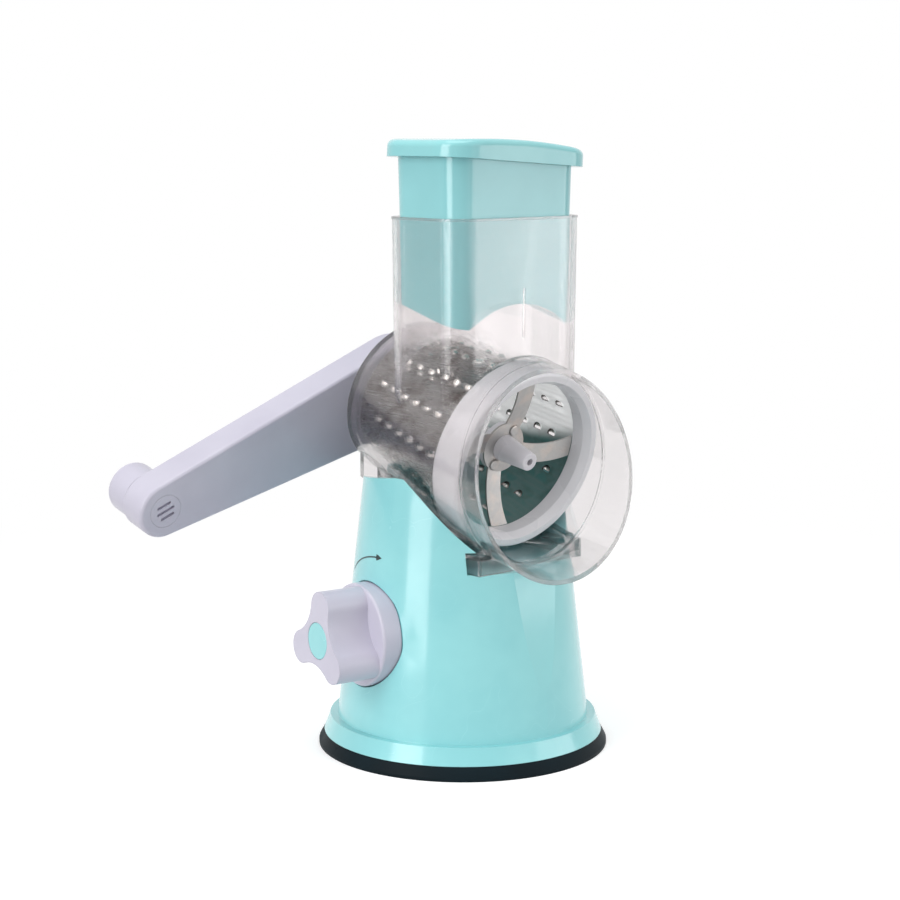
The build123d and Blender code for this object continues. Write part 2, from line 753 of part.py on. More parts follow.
def crank_shaft():
    """Steel shaft: round in the bush, hexagonal through the drum."""
    journal_front = barrel_back + 6.2
    body = tube(journal_radius, shaft_back, journal_front)
    body += hexagon(hex_flats, journal_front, shaft_front)
    body -= tube(screw_radius + screw_clearance, shaft_back - 1, shaft_back + 9)
    return DRUM * body


def shaft_screw():
    """Screw and washer that clamp the arm on the shaft."""
    one = tube(arm_boss_radius - 2, 0, 0.5) + tube(screw_radius, -8, 0.2)
    one += Pos(0, 0, 0.5) * screw(screw_head_radius, 1.8, screw_radius, 0.5)
    return DRUM * Pos(0, 0, shaft_back) * Rot(180, 0, 0) * one


def grip_axle():
    """Axle of the grip, its slotted head flush in the arm's front face."""
    body = tube(axle_radius + 0.85, arm_back, arm_front - axle_head)
    body += tube(axle_head_radius, arm_front - axle_head, arm_front)
    body += tube(axle_radius, grip_clip_s - 1.6, arm_back)
    for i in range(axle_slots):
        slot = SlotOverall(9 - abs(i - 1) * 2, axle_slot_width)
        cut = Pos(0, (i - 1) * 2.9, arm_front - 1.4) * extrude(slot, 3)
        body -= Rot(0, 0, 25) * cut
    body -= tube(axle_radius + 1, grip_clip_s - 0.85, grip_clip_s + 0.05) \
        - tube(axle_radius - 0.8, grip_clip_s - 0.85, grip_clip_s + 0.05)
    return DRUM * Pos(*grip_centre, 0) * body


def grip_clip():
    """Open ring clip that keeps the grip on its axle."""
    body = tube(axle_radius + 2, grip_clip_s - 0.8, grip_clip_s)
    body -= tube(axle_radius - 0.75, grip_clip_s - 1, grip_clip_s + 1)
    body -= block(0, 10, -1.8, 1.8, grip_clip_s - 2, grip_clip_s + 1)
    return DRUM * Pos(*grip_centre, 0) * body


def crank_grip():
    """Short round grip that turns on the axle."""
    body = tube(grip_radius, grip_back, arm_back - grip_gap)
    body = fillet(body.edges().group_by(Axis.Z)[0], grip_end_round)
    body -= tube(axle_radius + running_gap, -100, 0)
    body -= tube(grip_cap_radius + 0.05, grip_back - 1, grip_shoulder)
    return DRUM * Pos(*grip_centre, 0) * body


def grip_end_cap():
    """Round cap in the grip's end."""
    body = tube(grip_cap_radius, grip_back, grip_back + 1.8)
    body = fillet(body.edges().group_by(Axis.Z)[0], 0.5)
    return DRUM * Pos(*grip_centre, 0) * body


# ---------------------------------------------------------------- pusher pieces
def pusher_underside(grow=0.0):
    """Space under the pusher: an arch that matches the drum and flat feet beside it."""
    arch = tube(sleeve_front_radius + scoop_rise + pusher_arch_spread + grow, -90, 120)
    feet = block(-90, 90, -90, pusher_foot_height + grow, -90, 120)
    rise = (pusher_arch_gap - pusher_arch_spread) / cos(radians(drum_tilt))
    return Pos(0, 0, pusher_lift) * (Pos(0, 0, rise) * (DRUM * arch) + DRUM * feet)


def pusher_body():
    """Hollow food pusher: narrower downwards, arched below, its open top sloping under the lid."""
    top = pusher_top_z + pusher_top_y / 2 * tan(radians(lid_slope))
    depth = top - axis_height
    outer = rounded_prism(pusher_top_x, pusher_top_y, pusher_corner, top, depth, pusher_draft, hopper_x)
    inner = rounded_prism(pusher_top_x - 2 * pusher_wall, pusher_top_y - 2 * pusher_wall,
                          pusher_corner - pusher_wall, top + 0.01, depth, pusher_draft, hopper_x)
    walls = (outer - pusher_underside()) - (inner - pusher_underside(pusher_wall))
    return walls - LID_SEAT * block(-90, 90, -90, 90, 0, 90)


def pusher_lid():
    """Crowned lid that slopes to one side, with an upright plug in the body's open top."""
    wide_x = hopper_width_x + 2 * lid_overhang
    wide_y = hopper_width_y + 2 * lid_overhang
    body = extrude(RectangleRounded(wide_x, wide_y, hopper_corner + lid_overhang), lid_height + lid_crown)
    crown_radius = (wide_y / 2) ** 2 / (2 * lid_crown)
    crown_middle = lid_height + lid_crown - crown_radius
    body = body & Pos(0, 0, crown_middle) * Rot(0, 90, 0) * Cylinder(crown_radius, 3 * wide_x)
    body = fillet(body.faces().sort_by(Axis.Z)[-1].edges(), lid_edge)
    plug_x = pusher_top_x - 2 * (pusher_wall + lid_plug_gap)
    plug_y = pusher_top_y - 2 * (pusher_wall + lid_plug_gap)
    plug_corner = pusher_corner - pusher_wall - lid_plug_gap
    rise = plug_y / 2 * tan(radians(lid_slope))
    top = pusher_top_z + rise
    depth = lid_plug + 2 * rise
    plug = rounded_prism(plug_x, plug_y, plug_corner, top, depth, pusher_draft, hopper_x)
    plug -= rounded_prism(plug_x - 2 * pusher_wall, plug_y - 2 * pusher_wall, plug_corner - pusher_wall,
                          top + 0.01, depth + 1, pusher_draft, hopper_x)
    plug -= LID_SEAT * block(-90, 90, -90, 90, 0, 90)
    return LID_SEAT * body + plug


NODES = {
    "base_shell": base_shell,
    "suction_cup": suction_cup,
    "base_plate": base_plate,
    "base_screws": base_screws,
    "cam_bracket": cam_bracket,
    "bracket_screws": bracket_screws,
    "knob_bush": knob_bush,
    "suction_knob": knob,
    "knob_cap": knob_cap,
    "knob_screw": knob_screw,
    "cam_shaft": cam_shaft,
    "shaft_clip": shaft_clip,
    "cup_stem": cup_stem,
    "clear_chamber": clear_chamber,
    "shaft_bush": shaft_bush,
    "drum_sleeve": drum_sleeve,
    "drum_ring": drum_ring,
    "front_spider": front_spider,
    "drum_hub": drum_hub,
    "front_rivets": lambda: rivets(spider_plate_s - hub_flange, spider_plate_s + spider_sheet,
                                   2, front_rivet_angle),
    "rear_spider": rear_spider,
    "rear_hub": rear_hub,
    "rear_rivets": lambda: rivets(rear_plate_s, rear_plate_s + spider_sheet + rear_flange, 2, 0),
    "crank_arm": crank_arm,
    "crank_cover": crank_cover,
    "cover_screws": cover_screws,
    "crank_shaft": crank_shaft,
    "shaft_screw": shaft_screw,
    "grip_axle": grip_axle,
    "grip_clip": grip_clip,
    "crank_grip": crank_grip,
    "grip_end_cap": grip_end_cap,
    "pusher_body": pusher_body,
    "pusher_lid": pusher_lid,
}

for name, make in NODES.items():
    save(name, make())
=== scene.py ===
"""Looks of a hand cranked drum grater: clear hopper and barrel, steel drum, turquoise base."""

import json
import math

import bmesh
import bpy
from bpy.props import FloatProperty, FloatVectorProperty, PointerProperty
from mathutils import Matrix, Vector

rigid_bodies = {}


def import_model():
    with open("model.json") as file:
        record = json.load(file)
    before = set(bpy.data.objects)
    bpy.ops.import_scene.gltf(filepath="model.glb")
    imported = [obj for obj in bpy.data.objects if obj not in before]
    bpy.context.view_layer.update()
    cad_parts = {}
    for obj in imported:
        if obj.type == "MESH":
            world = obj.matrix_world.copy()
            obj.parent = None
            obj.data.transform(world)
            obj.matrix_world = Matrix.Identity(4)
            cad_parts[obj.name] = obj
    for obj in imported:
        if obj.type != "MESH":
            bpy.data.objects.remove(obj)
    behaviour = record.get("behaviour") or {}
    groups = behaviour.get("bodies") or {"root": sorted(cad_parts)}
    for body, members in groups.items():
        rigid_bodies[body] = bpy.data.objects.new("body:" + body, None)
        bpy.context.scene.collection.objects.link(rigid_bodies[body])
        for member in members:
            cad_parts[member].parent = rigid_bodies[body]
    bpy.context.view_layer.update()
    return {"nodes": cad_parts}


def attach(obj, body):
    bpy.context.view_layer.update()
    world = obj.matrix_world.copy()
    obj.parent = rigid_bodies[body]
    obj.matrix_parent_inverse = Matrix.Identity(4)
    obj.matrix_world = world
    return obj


bl_info = {
    "name": "Drum Grater Looks",
    "version": (1, 0, 0),
    "blender": (4, 5, 0),
    "location": "3D View > Sidebar > Grater",
    "description": "Finishes, printed marks, moulded details and a small studio for a drum grater",
    "category": "Object",
}

for leftover in list(bpy.data.objects):
    bpy.data.objects.remove(leftover)
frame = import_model()


def colour_property(name, description, value):
    """A colour that the user may change."""
    return FloatVectorProperty(name=name, description=description, subtype="COLOR",
                               size=3, min=0.0, max=1.0, default=value)


def length_property(name, description, value):
    """A length in metres that the user may change."""
    return FloatProperty(name=name, description=description, unit="LENGTH", subtype="DISTANCE",
                         min=0.0, precision=5, default=value)


class GraterColours(bpy.types.PropertyGroup):
    """Colours of the grater's plastics and metals."""

    turquoise: colour_property("Turquoise", "Gloss plastic of the base and the lid",
                               (0.30, 0.70, 0.72))
    turquoise_deep: colour_property("Deep turquoise", "Slight patches in the gloss plastic",
                                    (0.26, 0.64, 0.67))
    pusher: colour_property("Pusher", "Gloss plastic of the food pusher", (0.29, 0.69, 0.72))
    lavender: colour_property("Lavender", "Satin plastic of the crank and the knob",
                              (0.60, 0.58, 0.68))
    lavender_deep: colour_property("Deep lavender", "Slight patches in the satin plastic",
                                   (0.55, 0.53, 0.63))
    clear: colour_property("Clear", "Tint of the clear plastic", (0.80, 0.765, 0.77))
    # Edge-on tint: painted shade along the clear plastic's edges.
    clear_edge: colour_property("Clear edge", "Tint of the clear plastic where it is seen edge on",
                                (0.14, 0.12, 0.12))
    white: colour_property("White", "Plastic of the drum's front ring", (0.80, 0.79, 0.82))
    hub_grey: colour_property("Hub grey", "Plastic of the drum's hubs", (0.74, 0.72, 0.76))
    inner: colour_property("Inner plastic", "Plain plastic inside the base", (0.56, 0.56, 0.53))
    bush: colour_property("Bush plastic", "Pale plastic of bushes and stem", (0.78, 0.78, 0.74))
    steel: colour_property("Steel", "Sheet steel of the drum", (0.66, 0.65, 0.64))
    # Warm patches on the metals are painted warm reflection.
    steel_warm_reflection: colour_property("Warm steel", "Warm patches in the sheet steel", (0.72, 0.54, 0.42))
    # Sleeve wall colour: steel darkened as painted dark reflection.
    sleeve: colour_property("Sleeve", "Outside of the drum's sleeve between the scoops",
                            (0.29, 0.28, 0.275))
    # Dark warm patches: painted dark reflection on the sleeve.
    sleeve_dark_reflection: colour_property("Warm sleeve", "Dark warm patches on the drum's sleeve",
                                 (0.085, 0.06, 0.05))
    # Scoop tops: polished steel brightened near white as painted highlight.
    scoop_polish_and_highlight: colour_property("Scoop", "Polished tops of the drum's scoops", (0.96, 0.93, 0.88))
    # Pale inside colour is painted light: it stands for a bright reflection, and its upper part
    # glows.
    sleeve_inside_painted_light: colour_property("Sleeve inside", "Pale inside of the drum's sleeve",
                                   (0.93, 0.92, 0.92))
    # Teal shade of the lower inside: painted shade and painted reflection of the turquoise base.
    sleeve_shade: colour_property("Sleeve shade", "Shaded lower part of the sleeve's inside",
                                  (0.06, 0.20, 0.19))
    zinc: colour_property("Zinc", "Plated screws, clips and shafts", (0.58, 0.59, 0.61))
    rubber: colour_property("Rubber", "Suction cup", (0.004, 0.009, 0.012))
    ink: colour_property("Ink", "Printed arrow above the knob", (0.012, 0.03, 0.032))


class GraterSizes(bpy.types.PropertyGroup):
    """Sizes of the printed and moulded details."""

    arrow_radius: length_property("Arrow radius", "Radius of the printed arrow", 0.0401)
    arrow_line: length_property("Arrow line", "Width of the printed line", 0.0006)
    arrow_head: length_property("Arrow head", "Length of the arrow's head", 0.0032)
    ink_height: length_property("Ink height", "Thickness of the printed ink", 0.00006)
    lip_height: length_property("Lip height", "Height of the band round the hopper's top", 0.0011)
    lip_proud: length_property("Lip thickness", "How far the band stands out", 0.0003)
    rib_length: length_property("Rib length", "Length of the moulded rib on the hopper's front",
                                0.020)
    rib_width: length_property("Rib width", "Width of the moulded rib", 0.0014)


class StudioSizes(bpy.types.PropertyGroup):
    """Lamps, floor and surroundings."""

    key_power: FloatProperty(name="Key power", description="Tall soft lamp left of the camera",
                             unit="POWER", min=0.0, default=8.5)
    top_power: FloatProperty(name="Top power", description="Soft lamp overhead",
                             unit="POWER", min=0.0, default=5.5)
    fill_power: FloatProperty(name="Fill power", description="Soft lamp right of the camera",
                              unit="POWER", min=0.0, default=1.1)
    panel_power: FloatProperty(name="Panel power",
                               description="Low soft panel that the front faces mirror",
                               unit="POWER", min=0.0, default=2.3)
    ambient: FloatProperty(name="Ambient", description="Even light from all around",
                           min=0.0, default=0.50)
    floor_radius: length_property("Floor radius", "Radius of the floor", 4.0)
    floor_glow: FloatProperty(name="Floor glow", description="Keeps the floor white in the picture",
                              min=0.0, default=0.42)


# ---------------------------------------------------------------- shader helpers
FIRST_COLOUR, SECOND_COLOUR = 6, 7
MIXED_COLOUR = 2


def add_node(tree, kind, **values):
    """Adds a node and sets its unlinked inputs and settings by name."""
    node = tree.nodes.new(kind)
    for name, value in values.items():
        label = name.replace("_", " ").title()
        if label in node.inputs:
            node.inputs[label].default_value = value
        else:
            setattr(node, name, value)
    return node


def math_node(tree, operation, first, second=None, clamp=False):
    """Adds a Math node; each operand is a socket or a number."""
    node = tree.nodes.new("ShaderNodeMath")
    node.operation = operation
    node.use_clamp = clamp
    for socket, operand in zip(node.inputs, (first, second)):
        if hasattr(operand, "links"):
            tree.links.new(operand, socket)
        elif operand is not None:
            socket.default_value = operand
    return node.outputs[0]


def new_group(name, inputs, outputs):
    """Starts a shader node group with named sockets; inputs are (name, kind, default)."""
    tree = bpy.data.node_groups.new(name, "ShaderNodeTree")
    for label, kind, value in inputs:
        socket = tree.interface.new_socket(label, in_out="INPUT", socket_type="NodeSocket" + kind)
        socket.default_value = value
    for label, kind in outputs:
        tree.interface.new_socket(label, in_out="OUTPUT", socket_type="NodeSocket" + kind)
    return tree, tree.nodes.new("NodeGroupInput"), tree.nodes.new("NodeGroupOutput")


def noise(tree, scale, detail, coordinates):
    """Adds a Noise texture; scale is a socket or a number."""
    node = tree.nodes.new("ShaderNodeTexNoise")
    node.inputs["Detail"].default_value = detail
    tree.links.new(coordinates, node.inputs["Vector"])
    if hasattr(scale, "links"):
        tree.links.new(scale, node.inputs["Scale"])
    else:
        node.inputs["Scale"].default_value = scale
    return node.outputs["Fac"]


def spread(tree, value, low, high, to_low, to_high):
    """Maps a value from one range to another, smoothly and clamped."""
    node = tree.nodes.new("ShaderNodeMapRange")
    node.interpolation_type = "SMOOTHSTEP"
    for index, operand in enumerate((value, low, high, to_low, to_high)):
        if hasattr(operand, "links"):
            tree.links.new(operand, node.inputs[index])
        else:
            node.inputs[index].default_value = operand
    return node.outputs[0]


def blend_colours(tree, share, first, second):
    """Mixes two colour sockets by a share."""
    node = tree.nodes.new("ShaderNodeMix")
    node.data_type = "RGBA"
    tree.links.new(share, node.inputs["Factor"])
    tree.links.new(first, node.inputs[FIRST_COLOUR])
    tree.links.new(second, node.inputs[SECOND_COLOUR])
    return node.outputs[MIXED_COLOUR]


def grey_colour(tree, value):
    """Colour whose three channels are one value."""
    node = tree.nodes.new("ShaderNodeCombineColor")
    for channel in node.inputs:
        tree.links.new(value, channel)
    return node.outputs[0]


def hairlines(tree, coordinates, scale, width):
    """Mask of thin stray lines, as handling leaves on plastic and steel."""
    field = noise(tree, scale, 1.0, coordinates)
    distance = math_node(tree, "ABSOLUTE", math_node(tree, "SUBTRACT", field, 0.5))
    return spread(tree, distance, 0.0, width, 1.0, 0.0)


def moulded_skin_group():
    """Moulded plastic: faint patches, fine grain, stray hairlines and softened edges made paler as
    painted highlight.
    """
    tree, start, end = new_group(
        "moulded skin",
        [("Colour", "Color", (0.5, 0.5, 0.5, 1)), ("Deep Colour", "Color", (0.4, 0.4, 0.4, 1)),
         ("Patch Scale", "Float", 30.0), ("Grain Scale", "Float", 2500.0),
         ("Grain Height", "Float", 0.00001), ("Smooth", "Float", 0.15), ("Rough", "Float", 0.25),
         ("Edge Radius", "Float", 0.0004), ("Edge Wear", "Float", 0.2)],
        [("Colour", "Color"), ("Roughness", "Float"), ("Normal", "Vector")])
    link = tree.links.new
    place = tree.nodes.new("ShaderNodeTexCoord").outputs["Object"]
    clouds = noise(tree, start.outputs["Patch Scale"], 3.0, place)
    patches = spread(tree, clouds, 0.3, 0.7, 0.0, 1.0)
    rounded = add_node(tree, "ShaderNodeBevel", samples=4)
    link(start.outputs["Edge Radius"], rounded.inputs["Radius"])
    geometry = tree.nodes.new("ShaderNodeNewGeometry")
    facing = tree.nodes.new("ShaderNodeVectorMath")
    facing.operation = "DOT_PRODUCT"
    link(rounded.outputs[0], facing.inputs[0])
    link(geometry.outputs["Normal"], facing.inputs[1])
    # Paler, less saturated colour along the rounded edges is painted highlight.
    edge = spread(tree, facing.outputs["Value"], 0.80, 0.99, start.outputs["Edge Wear"], 0.0)
    pale = tree.nodes.new("ShaderNodeHueSaturation")
    pale.inputs["Saturation"].default_value = 0.8
    pale.inputs["Value"].default_value = 1.22
    mixed = blend_colours(tree, patches, start.outputs["Colour"], start.outputs["Deep Colour"])
    link(mixed, pale.inputs["Color"])
    link(blend_colours(tree, edge, mixed, pale.outputs["Color"]), end.inputs["Colour"])
    lines = hairlines(tree, place, 55.0, 0.0035)
    base = spread(tree, patches, 0.0, 1.0, start.outputs["Smooth"], start.outputs["Rough"])
    scuffed = math_node(tree, "MULTIPLY", math_node(tree, "ADD", lines, edge), 0.12)
    link(math_node(tree, "ADD", base, scuffed, clamp=True), end.inputs["Roughness"])
    grain = noise(tree, start.outputs["Grain Scale"], 2.0, place)
    bump = add_node(tree, "ShaderNodeBump", strength=1.0)
    link(start.outputs["Grain Height"], bump.inputs["Distance"])
    link(grain, bump.inputs["Height"])
    link(rounded.outputs[0], bump.inputs["Normal"])
    link(bump.outputs[0], end.inputs["Normal"])
    return tree


def sheet_metal_group():
    """Rolled or plated metal: fine streaks, warm patches of painted reflection, hairlines and
    shallow waviness.
    """
    tree, start, end = new_group(
        "sheet metal",
        [("Colour", "Color", (0.6, 0.6, 0.6, 1)), ("Warm Colour", "Color", (0.6, 0.5, 0.4, 1)),
         ("Warm Share", "Float", 0.2), ("Streak Scale", "Float", 900.0), ("Smooth", "Float", 0.12),
         ("Rough", "Float", 0.28), ("Wave Height", "Float", 0.00002)],
        [("Colour", "Color"), ("Roughness", "Float"), ("Normal", "Vector")])
    link = tree.links.new
    place = tree.nodes.new("ShaderNodeTexCoord").outputs["Object"]
    stretch = add_node(tree, "ShaderNodeMapping", scale=(0.08, 1.0, 1.0))
    link(place, stretch.inputs["Vector"])
    streaks = noise(tree, start.outputs["Streak Scale"], 3.0, stretch.outputs[0])
    # Warm noise patches are painted warm reflection.
    cloud = noise(tree, 160.0, 2.0, place)
    cloud = spread(tree, cloud, 0.45, 0.7, 0.0, start.outputs["Warm Share"])
    link(blend_colours(tree, cloud, start.outputs["Colour"], start.outputs["Warm Colour"]),
         end.inputs["Colour"])
    lines = hairlines(tree, place, 90.0, 0.006)
    base = spread(tree, streaks, 0.3, 0.7, start.outputs["Smooth"], start.outputs["Rough"])
    link(math_node(tree, "ADD", base, math_node(tree, "MULTIPLY", lines, 0.15), clamp=True),
         end.inputs["Roughness"])
    bump = add_node(tree, "ShaderNodeBump", strength=1.0)
    link(start.outputs["Wave Height"], bump.inputs["Distance"])
    link(noise(tree, 220.0, 1.0, place), bump.inputs["Height"])
    link(bump.outputs[0], end.inputs["Normal"])
    return tree


DRUM_TILT = math.radians(15)
DRUM_MIDDLE = Vector((0.0, 0.0, 0.1438))
DRUM_AXIS = Vector((math.cos(DRUM_TILT), 0.0, -math.sin(DRUM_TILT)))
SLEEVE_RADIUS = 0.03393
SLEEVE_SLOPE = 0.1116
SCOOP_BAND = (0.0002, 0.0011)
INSIDE_BAND = (-0.0006, -0.0003)
# Heights where the inside turns from painted glow above to painted shade below.
SHADE_BAND = (-0.009, 0.001)
INSIDE_METALLIC = 0.08
INSIDE_DULL = 0.2
INSIDE_PAINTED_GLOW = 0.45


def sleeve_wall_group():
    """Tells the sleeve's raised scoops and its inside from its wall by the distance to the axis,
    and gives the inside painted glow above and painted shade below.
    """
    tree, start, end = new_group(
        "sleeve wall",
        [("Wall Colour", "Color", (0.3, 0.3, 0.3, 1)),
         ("Scoop Colour", "Color", (0.9, 0.9, 0.9, 1)),
         ("Inside Colour", "Color", (0.8, 0.8, 0.8, 1)),
         ("Shade Colour", "Color", (0.1, 0.2, 0.2, 1)),
         ("Roughness", "Float", 0.15)],
        [("Colour", "Color"), ("Roughness", "Float"), ("Metallic", "Float"), ("Glow", "Color")])
    link = tree.links.new

    def vector(operation, first, second, output):
        """Adds a Vector Math node."""
        node = tree.nodes.new("ShaderNodeVectorMath")
        node.operation = operation
        link(first, node.inputs[0])
        if second is not None:
            node.inputs[1].default_value = second
        return node.outputs[output]

    place = tree.nodes.new("ShaderNodeTexCoord").outputs["Object"]
    offset = vector("SUBTRACT", place, DRUM_MIDDLE, 0)
    along = vector("DOT_PRODUCT", offset, DRUM_AXIS, "Value")
    away = vector("LENGTH", vector("CROSS_PRODUCT", offset, DRUM_AXIS, 0), None, "Value")
    wall = math_node(tree, "ADD", math_node(tree, "MULTIPLY", along, SLEEVE_SLOPE), SLEEVE_RADIUS)
    proud = math_node(tree, "SUBTRACT", away, wall)
    # Raised scoops take the near-white scoop colour, painted highlight against the darkened wall.
    raised = spread(tree, proud, *SCOOP_BAND, 0.0, 1.0)
    inside = spread(tree, proud, *INSIDE_BAND, 1.0, 0.0)
    outer = blend_colours(tree, raised, start.outputs["Wall Colour"], start.outputs["Scoop Colour"])
    # Lower inside turns to the dark teal shade colour: painted shade and painted reflection of the
    # turquoise base.
    height = vector("DOT_PRODUCT", offset, (0.0, 0.0, 1.0), "Value")
    low = spread(tree, height, *SHADE_BAND, 1.0, 0.0)
    inner = blend_colours(tree, low, start.outputs["Inside Colour"], start.outputs["Shade Colour"])
    link(blend_colours(tree, inside, outer, inner), end.inputs["Colour"])
    link(spread(tree, inside, 0.0, 1.0, 1.0, INSIDE_METALLIC), end.inputs["Metallic"])
    # The upper inside glows though it is no lamp: painted light.
    bright = math_node(tree, "MULTIPLY", inside, math_node(tree, "SUBTRACT", 1.0, low))
    link(grey_colour(tree, bright), end.inputs["Glow"])
    dull = math_node(tree, "MULTIPLY", inside, INSIDE_DULL)
    link(math_node(tree, "ADD", start.outputs["Roughness"], dull, clamp=True),
         end.inputs["Roughness"])
    return tree


def grouped_material(name, group, values, links, **shader):
    """Principled material whose colour, roughness and normal come from a group's outputs."""
    material = bpy.data.materials.new(name)
    material.use_nodes = True
    tree = material.node_tree
    tree.nodes.clear()
    output = tree.nodes.new("ShaderNodeOutputMaterial")
    surface = tree.nodes.new("ShaderNodeBsdfPrincipled")
    tree.links.new(surface.outputs[0], output.inputs[0])
    skin = tree.nodes.new("ShaderNodeGroup")
    skin.node_tree = group
    for label, value in values.items():
        skin.inputs[label].default_value = value
    for source, target in links.items():
        tree.links.new(skin.outputs[source], surface.inputs[target])
    for label, value in shader.items():
        surface.inputs[label.replace("_", " ")].default_value = value
    return material, tree, surface, output


ALL_LINKS = {"Colour": "Base Color", "Roughness": "Roughness", "Normal": "Normal"}


def solid(colour):
    """Colour with full alpha."""
    return (*colour, 1.0)


def plastic(name, colour, deep, smooth, rough, grain, edge=0.0004, edge_highlight=0.25, **shader):
    """Opaque moulded plastic or rubber."""
    values = {"Colour": solid(colour), "Deep Colour": solid(deep), "Smooth": smooth, "Rough": rough,
              "Grain Height": grain, "Edge Radius": edge, "Edge Wear": edge_highlight}
    return grouped_material(name, bpy.data.node_groups["moulded skin"], values, ALL_LINKS,
                            **shader)[0]


def metal(name, colour, warm, share, smooth, rough, wave):
    """Steel or plated metal."""
    values = {"Colour": solid(colour), "Warm Colour": solid(warm), "Warm Share": share,
              "Smooth": smooth, "Rough": rough, "Wave Height": wave}
    return grouped_material(name, bpy.data.node_groups["sheet metal"], values, ALL_LINKS,
                            Metallic=1.0)[0]


def sleeve_steel(colours):
    """Steel of the sleeve: wall darkened as painted dark reflection, polished scoops brightened as
    painted highlight, and a paler, duller inside with painted glow above and painted shade below.
    """
    # Sleeve wall: darkened steel with dark warm patches, both painted dark reflection.
    values = {"Colour": solid(colours.sleeve), "Warm Colour": solid(colours.sleeve_dark_reflection),
              "Warm Share": 0.8, "Smooth": 0.24, "Rough": 0.32, "Wave Height": 0.00008}
    material, tree, surface = grouped_material(
        "grating steel", bpy.data.node_groups["sheet metal"], values, {"Normal": "Normal"})[:3]
    rolled = surface.inputs["Normal"].links[0].from_node
    wall = tree.nodes.new("ShaderNodeGroup")
    wall.node_tree = bpy.data.node_groups["sleeve wall"]
    wall.inputs["Scoop Colour"].default_value = solid(colours.scoop_polish_and_highlight)
    wall.inputs["Inside Colour"].default_value = solid(colours.sleeve_inside_painted_light)
    wall.inputs["Shade Colour"].default_value = solid(colours.sleeve_shade)
    tree.links.new(rolled.outputs["Colour"], wall.inputs["Wall Colour"])
    tree.links.new(rolled.outputs["Roughness"], wall.inputs["Roughness"])
    tree.links.new(wall.outputs["Colour"], surface.inputs["Base Color"])
    for label in ("Roughness", "Metallic"):
        tree.links.new(wall.outputs[label], surface.inputs[label])
    # Painted glow on the sleeve's upper inside.
    tree.links.new(wall.outputs["Glow"], surface.inputs["Emission Color"])
    surface.inputs["Emission Strength"].default_value = INSIDE_PAINTED_GLOW
    return material


CLEAR_ALPHA = 0.76
CLEAR_GLOSS = 0.32
EDGE_ON_BAND = (0.66, 0.95)
PASSING_TINT = 0.12


def clear_plastic(name, tint, edge_tint, smooth, rough, edge):
    """Clear moulded plastic, with painted shade where it is seen edge on, that lets soft light
    through to what it holds.
    """
    values = {"Smooth": smooth, "Rough": rough, "Grain Height": 0.000001, "Grain Scale": 350.0,
              "Edge Radius": edge, "Patch Scale": 60.0}
    links = {"Roughness": "Roughness", "Normal": "Normal"}
    material, tree, surface, output = grouped_material(
        name, bpy.data.node_groups["moulded skin"], values, links,
        Base_Color=solid(tint), Transmission_Weight=1.0, IOR=1.45, Metallic=0.0,
        Specular_IOR_Level=CLEAR_GLOSS, Alpha=CLEAR_ALPHA)
    # Darker tint where the plastic is seen edge on is painted shade.
    lean = add_node(tree, "ShaderNodeLayerWeight", blend=0.5)
    edge_on_shade = spread(tree, lean.outputs["Facing"], *EDGE_ON_BAND, 0.0, 1.0)
    shades = tree.nodes.new("ShaderNodeMix")
    shades.data_type = "RGBA"
    shades.inputs[FIRST_COLOUR].default_value = solid(tint)
    shades.inputs[SECOND_COLOUR].default_value = solid(edge_tint)
    tree.links.new(edge_on_shade, shades.inputs["Factor"])
    tree.links.new(shades.outputs[MIXED_COLOUR], surface.inputs["Base Color"])
    path = tree.nodes.new("ShaderNodeLightPath")
    passing = tree.nodes.new("ShaderNodeBsdfTransparent")
    passing.inputs["Color"].default_value = solid([1 - (1 - c) * PASSING_TINT for c in tint])
    mix = tree.nodes.new("ShaderNodeMixShader")
    share = math_node(tree, "MAXIMUM", path.outputs["Is Shadow Ray"],
                      path.outputs["Is Diffuse Ray"])
    tree.links.new(share, mix.inputs[0])
    tree.links.new(surface.outputs[0], mix.inputs[1])
    tree.links.new(passing.outputs[0], mix.inputs[2])
    tree.links.new(mix.outputs[0], output.inputs[0])
    return material


def finish_nodes(material, *names):
    """Gives CAD nodes a material through their own slots."""
    for name in names:
        for place in frame["nodes"][name].material_slots:
            place.material = material


# ---------------------------------------------------------------- mesh helpers
def mesh_piece(name, body, material, verts, faces):
    """Makes a mesh piece, lets it ride on a body and names its finish."""
    mesh = bpy.data.meshes.new(name)
    mesh.from_pydata(verts, [], faces)
    mesh.materials.append(material)
    maker = bmesh.new()
    maker.from_mesh(mesh)
    bmesh.ops.recalc_face_normals(maker, faces=maker.faces)
    maker.to_mesh(mesh)
    maker.free()
    piece = bpy.data.objects.new(name, mesh)
    bpy.context.scene.collection.objects.link(piece)
    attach(piece, body)
    return piece


# ---------------------------------------------------------------- base
CONE_FOOT = (0.0564, 0.0135)
CONE_TOP = (0.0438, 0.125)
KNOB_AZIMUTH = math.radians(-97.5)
SKIN_GAP = 0.00002
ARROW_RUN, ARROW_CREST = 0.006, 0.0899
ARROW_START, ARROW_TIP = math.radians(-41), math.radians(2)
ARROW_STEPS = 28
BARB_SHARE = 0.42


def cone_point(run, height, proud):
    """Point on the base cone: `run` metres along its girth from above the knob."""
    share = (height - CONE_FOOT[1]) / (CONE_TOP[1] - CONE_FOOT[1])
    radius = CONE_FOOT[0] + share * (CONE_TOP[0] - CONE_FOOT[0])
    azimuth = KNOB_AZIMUTH + run / radius
    reach = radius + proud
    return Vector((reach * math.cos(azimuth), reach * math.sin(azimuth), height))


